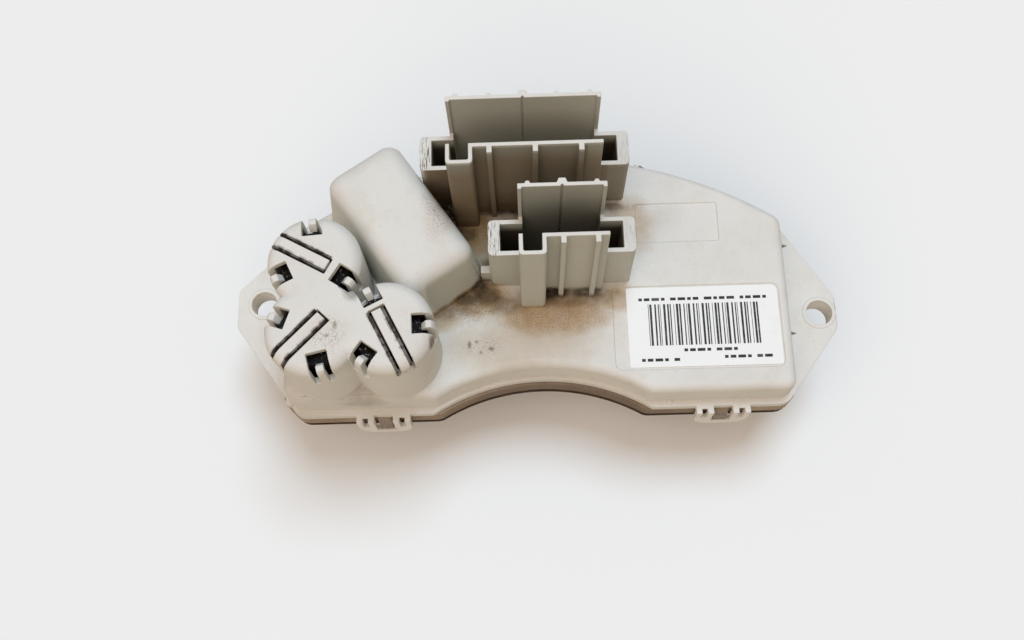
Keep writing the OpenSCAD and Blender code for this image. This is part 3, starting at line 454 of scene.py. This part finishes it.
def moulding_material():
    """Warm grey glass-filled nylon, dusty, with tan dirt, dirt and painted shade in the corners, painted
    shade in the sockets and the slits, and painted light on its walls.
    """
    material, tree, shader, where = new_material("moulding", 0.6, gloss=0.2)
    facing = split(tree, add(tree, "ShaderNodeTexCoord").outputs["Normal"])
    upright = steps(tree, maths(tree, "ABSOLUTE", facing["Z"]), FLAT, WALL)
    point = split(tree, where)

    # The plastic, with painted light on its walls, in the ear holes and on the front clip loops, and painted
    # shade on the walls round the sockets
    tone = blend(tree, patches(tree, where, 38.0, low=0.35, high=0.75), PALE_GREY, DULL_GREY)
    # Painted light: upright faces are a lighter, greener grey than the tops
    tone = blend(tree, times(tree, upright, 0.7), tone, WALL_PAINTED_LIGHT)
    # Painted shade: the walls round the plug sockets are a duller grey
    (x, y), half_length, half_width, border = SOCKET_WALL_SHADE
    walls = strip(tree, where, place(x, y, 0), Vector((1, 0, 0)), half_length, half_width, border)
    walls = times(tree, walls, upright)
    tone = blend(tree, times(tree, walls, 0.85), tone, SHADED_SOCKET_GREY)
    # Painted light on the insides of the ear holes and on the fronts of the front clip loops
    painted_light = largest(tree, [spots(tree, where, HOLE_WALL_LIGHT, ragged=0.0),
                           steps_mm(tree, point["Y"], LIT_LOOPS_FROM, LIT_LOOPS_FULL)])
    tone = blend(tree, times(tree, painted_light, upright), tone, PAINTED_LIGHT_GREY)

    # Dust and flecks all over, and the rubbed tongues
    dust = times(tree, patches(tree, where, 120.0, low=0.48, high=0.8), 0.36)
    tone = blend(tree, dust, tone, DUST)
    tone = blend(tree, times(tree, speckle(tree, where, 1900.0, share=0.36), 0.3), tone, FLECK)
    rubbed = tongue_fields(tree, where, half_width=1.5, border=0.1)
    tone = blend(tree, times(tree, rubbed, 0.45), tone, TONGUE_GREY)

    # Dirt and painted shade, from the widest to the deepest
    grit = patches(tree, where, 420.0, low=0.3, high=0.62)
    tan = times(tree, spots(tree, where, TAN_DIRT, ragged=0.55), rising(tree, 0.75, 0.25, grit))
    tone = blend(tree, tan, tone, TAN)
    # Dark brown is dirt with painted shade at the feet of walls
    dark = times(tree, spots(tree, where, DARK_DIRT_AND_SHADE, ragged=0.7), rising(tree, 0.65, 0.35, grit))
    tone = blend(tree, dark, tone, DARK_BROWN)
    # Deep brown is painted shade with dirt, in corners and along the feet of walls
    rough = patches(tree, where, 900.0, low=0.3, high=0.6)
    deep = times(tree, spots(tree, where, DEEP_SHADE_AND_DIRT, ragged=0.8), rising(tree, 0.7, 0.3, rough))
    tone = blend(tree, deep, tone, DEEP_BROWN)
    tone = blend(tree, spots(tree, where, SMALL_MARKS, ragged=0.9), tone, SMALL_MARK)

    # The sockets
    film = times(tree, socket_fields(tree, where, point["Z"], SOCKET_FILM), upright)
    tone = blend(tree, film, tone, FILM)
    shade = times(tree, socket_fields(tree, where, point["Z"], SOCKET_SHADE), upright)
    tone = blend(tree, shade, tone, SHADE)

    # Gathered flecks and scratches
    fine = times(tree, speckle(tree, where, 2600.0, share=0.62), spots(tree, where, FLECKED, ragged=0.6))
    tone = blend(tree, times(tree, fine, 0.65), tone, DARK_FLECK)
    marks = use(tree, SCRATCHES, Vector=where, Stretch=(5200.0, 320.0, 400.0), Share=0.62)
    marks = times(tree, marks, spots(tree, where, SCRATCHED, ragged=0.6))
    tone = blend(tree, times(tree, marks, 0.85), tone, SCRATCH)

    # Worn edges beside the tongues, and painted shade in the slits
    broken = patches(tree, where, 600.0, low=0.4, high=0.62)
    worn = times(tree, tongue_borders(tree, where, outer=(2.1, 0.5), inner=(0.9, 0.3)), broken)
    tone = blend(tree, times(tree, worn, 0.65), tone, WORN)
    # Painted shade: the sides of the slits beside the tongues are near black
    slit_shade = times(tree, tongue_borders(tree, where, outer=(2.07, 0.06), inner=(1.42, 0.06)),
                 rising(tree, 0.78, 0.2, broken))
    tone = blend(tree, slit_shade, tone, SLIT_SHADE)

    feed(tree, shader.inputs["Base Color"], tone)
    # Rougher where there is dirt, dust and painted shade
    dirt_and_shade = largest(tree, [tan, dark, dust, shade])
    feed(tree, shader.inputs["Roughness"], rising(tree, 0.55, 0.35, dirt_and_shade))
    grainy(tree, shader, where, fine=2400.0, broad=160.0, share=0.4, strength=0.25, depth=0.4)
    return material


# Looks of the other pieces

# Part of the heat sink's rim in the hollow front, darkened by grime and by painted shade, more towards the
# bottom: centre, reach and strength
RIM_GRIME_AND_SHADE = [((8, -27, -2), (50, 16, 14), 1.0)]


def label_material():
    """White printed film, a little dulled."""
    material, tree, shader, where = new_material("label_film", 0.5, gloss=0.12)
    worn = times(tree, patches(tree, where, 150.0, low=0.5, high=0.8), 0.3)
    feed(tree, shader.inputs["Base Color"], blend(tree, worn, srgb(238, 238, 237), srgb(222, 220, 215)))
    grainy(tree, shader, where, fine=1200.0, broad=120.0, share=0.6, strength=0.08, depth=0.2)
    return material


def print_material():
    """Dark print, faded in patches."""
    material, tree, shader, where = new_material("label_print", 0.5, gloss=0.12)
    faded = times(tree, patches(tree, where, 500.0, low=0.45, high=0.8), 0.6)
    feed(tree, shader.inputs["Base Color"], blend(tree, faded, srgb(48, 46, 46), srgb(120, 118, 116)))
    grainy(tree, shader, where, fine=1200.0, broad=300.0, share=0.5, strength=0.05, depth=0.1)
    return material


def cast_material():
    """Cast aluminium: grey fins, a rim stained brown and darkened in the hollow front and towards the bottom
    by grime and painted shade, and pitted catches in front of it.
    """
    material, tree, shader, where = new_material("cast_aluminium", 0.5, 0.2, 0.3)
    point = split(tree, where)
    stain = patches(tree, where, 70.0, low=0.3, high=0.7)
    tone = blend(tree, times(tree, stain, 0.7), srgb(184, 180, 173), srgb(158, 151, 140))
    rim = blend(tree, times(tree, stain, 0.7), srgb(180, 162, 142), srgb(148, 127, 106))
    # Painted shade with grime on the rim in the hollow front, darker towards the bottom
    low = steps_mm(tree, point["Z"], 0.5, -3.5, 0.75, 1.0)
    grime_and_shade = times(tree, spots(tree, where, RIM_GRIME_AND_SHADE, ragged=0.1), low)
    rim = blend(tree, grime_and_shade, rim, srgb(114, 99, 87))
    tone = blend(tree, steps_mm(tree, point["Z"], -6.0, -1.0), tone, rim)
    bare = times(tree, steps_mm(tree, point["Y"], -30.5, -31.5), 0.8)
    tone = blend(tree, bare, tone, srgb(150, 141, 134))
    pits = times(tree, speckle(tree, where, 1500.0, share=0.55), rising(tree, 0.35, 0.6, bare))
    feed(tree, shader.inputs["Base Color"], blend(tree, pits, tone, srgb(84, 74, 66)))
    feed(tree, shader.inputs["Roughness"], rising(tree, 0.42, 0.25, stain))
    grainy(tree, shader, where, fine=1500.0, broad=220.0, share=0.35, strength=0.5, depth=0.5)
    return material


def sleeve_material():
    """Black shrunk film, dull, with pale flecks."""
    material, tree, shader, where = new_material("sleeve_film", 0.6, gloss=0.1)
    patch = patches(tree, where, 300.0, low=0.35, high=0.7)
    tone = blend(tree, patch, srgb(20, 17, 15), srgb(12, 10, 9))
    flecks = times(tree, speckle(tree, where, 1300.0, share=0.42), 0.7)
    feed(tree, shader.inputs["Base Color"], blend(tree, flecks, tone, srgb(150, 146, 140)))
    feed(tree, shader.inputs["Roughness"], rising(tree, 0.5, 0.2, patch))
    grainy(tree, shader, where, fine=1200.0, broad=200.0, share=0.4, strength=0.08, depth=0.3)
    return material


def plain_material(name, light, dark, roughness, metallic=0.0, scale=300.0, grain=0.2, gloss=0.5):
    """Finish with soft patches of two tones, uneven gloss and a fine grain."""
    material, tree, shader, where = new_material(name, roughness, metallic, gloss)
    patch = patches(tree, where, scale, low=0.35, high=0.7)
    feed(tree, shader.inputs["Base Color"], blend(tree, patch, srgb(*light), srgb(*dark)))
    feed(tree, shader.inputs["Roughness"], rising(tree, roughness - 0.06, 0.14, patch))
    grainy(tree, shader, where, fine=scale * 6, broad=scale, share=0.4, strength=grain, depth=0.3)
    return material


FINISHES = {
    "moulding": moulding_material(),
    "label_film": label_material(),
    "cast_aluminium": cast_material(),
    "seal_rubber": plain_material("seal_rubber", (74, 60, 49), (54, 43, 35), 0.85, gloss=0.1),
    "board_laminate": plain_material("board_laminate", (30, 92, 58), (22, 70, 44), 0.35, scale=160.0),
    # The can's tones are darker than aluminium: painted shade, as it shows only through the windows of the
    # domes
    "can_aluminium": plain_material("can_aluminium", (112, 104, 96), (64, 58, 52), 0.6, 0.4, scale=500.0),
    "sleeve_film": sleeve_material(),
    "bung_rubber": plain_material("bung_rubber", (40, 36, 34), (26, 24, 23), 0.75),
    "tinned_brass": plain_material("tinned_brass", (196, 190, 176), (160, 150, 132), 0.32, 0.9),
    "plated_steel": plain_material("plated_steel", (188, 188, 188), (160, 158, 152), 0.34, 0.95),
    "ferrite": plain_material("ferrite", (58, 58, 60), (42, 42, 44), 0.6),
    "enamelled_copper": plain_material("enamelled_copper", (178, 96, 48), (146, 70, 34), 0.28, 0.6),
    "black_plastic": plain_material("black_plastic", (40, 40, 40), (28, 28, 28), 0.5),
    "package_epoxy": plain_material("package_epoxy", (38, 38, 40), (26, 26, 28), 0.55, scale=800.0),
    "silicone_pad": plain_material("silicone_pad", (206, 198, 182), (188, 178, 160), 0.7),
    "ceramic": plain_material("ceramic", (176, 148, 112), (150, 124, 92), 0.45, scale=900.0),
}

for part in frame["record"]["subparts"]:
    finish = FINISHES[part["material_slot"]]
    data = nodes[part["node"]].data
    data.materials.clear()
    data.materials.append(finish)


def select_only(chosen):
    """Selects the chosen objects alone, with the first one active."""
    for item in bpy.context.selected_objects:
        item.select_set(False)
    for item in chosen:
        item.select_set(True)
    bpy.context.view_layer.objects.active = chosen[0]


def joined(pieces):
    """The pieces as one."""
    select_only(pieces)
    bpy.ops.object.join()
    return bpy.context.object


# Softly shaded copies of the pieces that show

# The clip loops: the middle of each one's edge against the flange, and the way that it faces.
# The two at the back stand on the round edge, whose middle is at BACK_Y.
BACK_RADIUS, BACK_Y = 112.3, -74
CLIP_LOOPS = [((-40.5, -30.7), 180.0), ((45.4, -30.7), 180.0)] + [
    ((sin(radians(turn)) * BACK_RADIUS, cos(radians(turn)) * BACK_RADIUS + BACK_Y), -turn)
    for turn in (-11, 11)]
# The slots on both sides of a clip loop: how far aside, how far out and how high, and their size
SLOT_X, SLOT_Y, SLOT_Z = 4.65, 1.5, 6.2
SLOT_SIZE = (1.5, 1.8, 1.4)

# For the copies, in millimetres and degrees: corners this near are one, faces this nearly in one
# plane are one, and edges sharper than this are rounded
SAME_POINT = 0.004
SAME_PLANE = 0.4
SHARP_EDGE = 42
# How much the large faces lead the shading of the corners, out of 100
LARGE_FACES_LEAD = 80


def slot_cutter():
    """Small blocks, joined as one, where the side slots of the clip loops are open on top."""
    blocks = []
    for (x, y), turn in CLIP_LOOPS:
        for side in (-SLOT_X, SLOT_X):
            bpy.ops.mesh.primitive_cube_add(size=1)
            block = bpy.context.object
            block.data.transform(Matrix.Diagonal([size * MM for size in SLOT_SIZE] + [1]))
            block.data.transform(Matrix.Translation((side * MM, SLOT_Y * MM, SLOT_Z * MM)))
            block.data.transform(Matrix.Rotation(radians(turn), 4, "Z"))
            block.data.transform(Matrix.Translation(place(x, y, 0)))
            blocks.append(block)
    return joined(blocks)


def softened(name, body, crease, edge, cutter=None):
    """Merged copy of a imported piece, smooth up to the crease angle, with edges rounded by edge mm."""
    piece = nodes[name].copy()
    piece.data = nodes[name].data.copy()
    piece.name = name + "_skin"
    bpy.context.scene.collection.objects.link(piece)
    select_only([piece])
    bpy.ops.object.mode_set(mode="EDIT")
    bpy.ops.mesh.select_all(action="SELECT")
    bpy.ops.mesh.remove_doubles(threshold=SAME_POINT * MM)
    bpy.ops.mesh.dissolve_limited(angle_limit=radians(SAME_PLANE))
    bpy.ops.object.mode_set(mode="OBJECT")
    if cutter:
        cut = piece.modifiers.new("open_slots", "BOOLEAN")
        cut.operation = "DIFFERENCE"
        cut.solver = "EXACT"
        cut.object = cutter
        bpy.ops.object.modifier_apply(modifier=cut.name)
        bpy.data.objects.remove(cutter)
    bpy.ops.object.shade_smooth_by_angle(angle=radians(crease))
    if edge:
        rounding = piece.modifiers.new("soft_edges", "BEVEL")
        rounding.width = edge * MM
        rounding.segments = 2
        rounding.limit_method = "ANGLE"
        rounding.angle_limit = radians(SHARP_EDGE)
        rounding.use_clamp_overlap = False
        rounding.miter_outer = "MITER_ARC"
    even = piece.modifiers.new("even_shading", "WEIGHTED_NORMAL")
    even.keep_sharp = True
    even.weight = LARGE_FACES_LEAD
    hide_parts(name)
    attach(piece, body)
    return piece


cover = softened("cover", "root", crease=32, edge=0.16, cutter=slot_cutter())

# The domes: the middles of their round walls, their radius, the rounding of their edges and their top
DOMES = [place(-53.1, -17.4, 0), place(-36.0, -17.4, 0), place(-53.1, -0.6, 0)]
DOME_R = 11.2 * MM
DOME_EDGE = 3 * MM
DOME_TOP = 39 * MM
# A face is part of a dome when it is this near its skin and faces as the skin does
DOME_NEAR = 0.2 * MM
DOME_ALIKE = 0.985


def dome_surface(point, middle):
    """Distance of a point from a dome's skin, and the skin's direction there."""
    out = Vector((point.x - middle.x, point.y - middle.y, 0))
    rise = point.z - (DOME_TOP - DOME_EDGE)
    if rise <= 0:
        return abs(out.length - DOME_R), out.normalized()
    lean = out.normalized() * (out.length - DOME_R + DOME_EDGE) + Vector((0, 0, rise))
    return abs(lean.length - DOME_EDGE), lean.normalized()


def round_domes(piece):
    """Applies the modifiers of the cover and makes the facets of the domes shade as round walls."""
    select_only([piece])
    for modifier in list(piece.modifiers):
        bpy.ops.object.modifier_apply(modifier=modifier.name)
    mesh = piece.data
    normals = [Vector(corner.vector) for corner in mesh.corner_normals]
    for face in mesh.polygons:
        for middle in DOMES:
            away, facing = dome_surface(face.center, middle)
            if away < DOME_NEAR and facing.dot(face.normal) > DOME_ALIKE:
                for corner in face.loop_indices:
                    at = mesh.vertices[mesh.loops[corner].vertex_index].co
                    normals[corner] = dome_surface(at, middle)[1]
    mesh.normals_split_custom_set(normals)


round_domes(cover)
softened("heat_sink", "root", crease=30, edge=0.0)

# Print on the label: plain bars and dashes with no meaning. Widths, gaps and heights are in
# millimetres and repeat; starts, ends and lower edges are shares of the label.

PRINT_LIFT = 0.03
BAR_WIDTHS, BAR_GAPS = (0.15, 0.54, 0.41, 0.28), (0.24, 0.68, 0.46)
BAR_START, BAR_END, BAR_LOW, BAR_HEIGHT = 0.14, 0.86, 0.265, 0.52
DASH_WIDTHS, DASH_GAPS, DASH_HEIGHT = (0.9, 1.4, 1.9), (0.5, 0.5, 0.5, 1.4), 0.75
DASH_ROWS = [(0.08, 0.93, 0.83), (0.36, 0.72, 0.185), (0.08, 0.3, 0.07), (0.62, 0.9, 0.09)]


def line_of_marks(start, end, low, height, widths, gaps):
    """Thin printed rectangles in a line, from its start to the last one that starts before its end."""
    size = label_high - label_low
    x, y = label_low.x + size.x * start, label_low.y + size.y * low
    marks = []
    while x < label_low.x + size.x * end:
        width = widths[len(marks) % len(widths)] * MM
        gap = gaps[len(marks) % len(gaps)] * MM
        middle = (x + width / 2, y + height / 2, label_high.z + PRINT_LIFT * MM)
        bpy.ops.mesh.primitive_plane_add(size=1, location=middle)
        mark = bpy.context.object
        mark.scale = (width, height, 1)
        marks.append(mark)
        x += width + gap
    return marks


def label_print():
    """Bars and dashes, joined as one piece that lies on the label."""
    bar_height = (label_high.y - label_low.y) * BAR_HEIGHT
    marks = line_of_marks(BAR_START, BAR_END, BAR_LOW, bar_height, BAR_WIDTHS, BAR_GAPS)
    for start, end, low in DASH_ROWS:
        marks += line_of_marks(start, end, low, DASH_HEIGHT * MM, DASH_WIDTHS, DASH_GAPS)
    piece = joined(marks)
    piece.name = "label_print"
    bpy.ops.object.transform_apply(location=True, rotation=True, scale=True)
    piece.data.materials.append(print_material())
    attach(piece, "root")


label_print()

# Floor and light

FLOOR_SIZE = 6
FLOOR_SEEN = (0.847, 0.847, 0.847, 1)
FLOOR_LIGHT = (0.56, 0.49, 0.41, 1)


def floor_material():
    """Pale floor, plain to the camera and darker to the light that it sends back."""
    material, tree, shader, where = new_material("floor", 0.9, gloss=0.1)
    seen = add(tree, "ShaderNodeLightPath").outputs["Is Camera Ray"]
    feed(tree, shader.inputs["Base Color"], blend(tree, seen, FLOOR_LIGHT, FLOOR_SEEN))
    return material


bpy.ops.mesh.primitive_plane_add(size=FLOOR_SIZE, location=(MID_X, 0, floor_z))
floor = bpy.context.object
floor.name = "floor"
floor.data.materials.append(floor_material())


def sun(name, azimuth, elevation, strength, size, colour):
    """Sun lamp; azimuth 0 stands behind the part and 90 on its right."""
    lamp = bpy.data.lights.new(name, "SUN")
    lamp.energy = strength
    lamp.angle = radians(size)
    lamp.color = colour
    holder = bpy.data.objects.new(name, lamp)
    bpy.context.scene.collection.objects.link(holder)
    a, e = radians(azimuth), radians(elevation)
    towards = Vector((sin(a) * cos(e), cos(a) * cos(e), sin(e)))
    holder.rotation_euler = towards.to_track_quat("Z", "Y").to_euler()


sun("key", azimuth=25, elevation=72, strength=1.80, size=26, colour=(0.639, 0.829, 1.0))
sun("warm_fill", azimuth=205, elevation=59, strength=1.36, size=70, colour=(1.0, 0.86, 0.73))

world = bpy.data.worlds.new("studio")
bpy.context.scene.world = world
world.use_nodes = True
background = world.node_tree.nodes["Background"]
background.inputs["Color"].default_value = (1.0, 0.82, 0.66, 1)
background.inputs["Strength"].default_value = 0.28

# Camera where the photograph was taken

IMAGE_W = 1024
FOCAL_PX = 1100
SENSOR_MM = 36
CAMERA_AT = place(-3.88, -96.50, 277.19)
TILT = radians(71.56)
TURN = radians(-2.20)
ROLL = radians(-3.76)


def photo_camera():
    """Camera with the fitted place and turn: tilted down, turned to its side and rolled."""
    lens = bpy.data.cameras.new("photo_camera")
    lens.sensor_width = SENSOR_MM
    lens.lens = SENSOR_MM * FOCAL_PX / IMAGE_W
    lens.clip_start = 0.005
    lens.clip_end = 20
    holder = bpy.data.objects.new("photo_camera", lens)
    bpy.context.scene.collection.objects.link(holder)
    ahead = Vector((sin(TURN) * cos(TILT), cos(TURN) * cos(TILT), -sin(TILT)))
    right = Vector((cos(TURN), -sin(TURN), 0))
    up = right.cross(ahead)
    x_axis = right * cos(ROLL) + up * sin(ROLL)
    y_axis = up * cos(ROLL) - right * sin(ROLL)
    turned = Matrix((x_axis, y_axis, -ahead)).transposed()
    holder.matrix_world = Matrix.Translation(CAMERA_AT) @ turned.to_4x4()
    bpy.context.scene.camera = holder


photo_camera()
bpy.context.scene.view_settings.view_transform = "Standard"
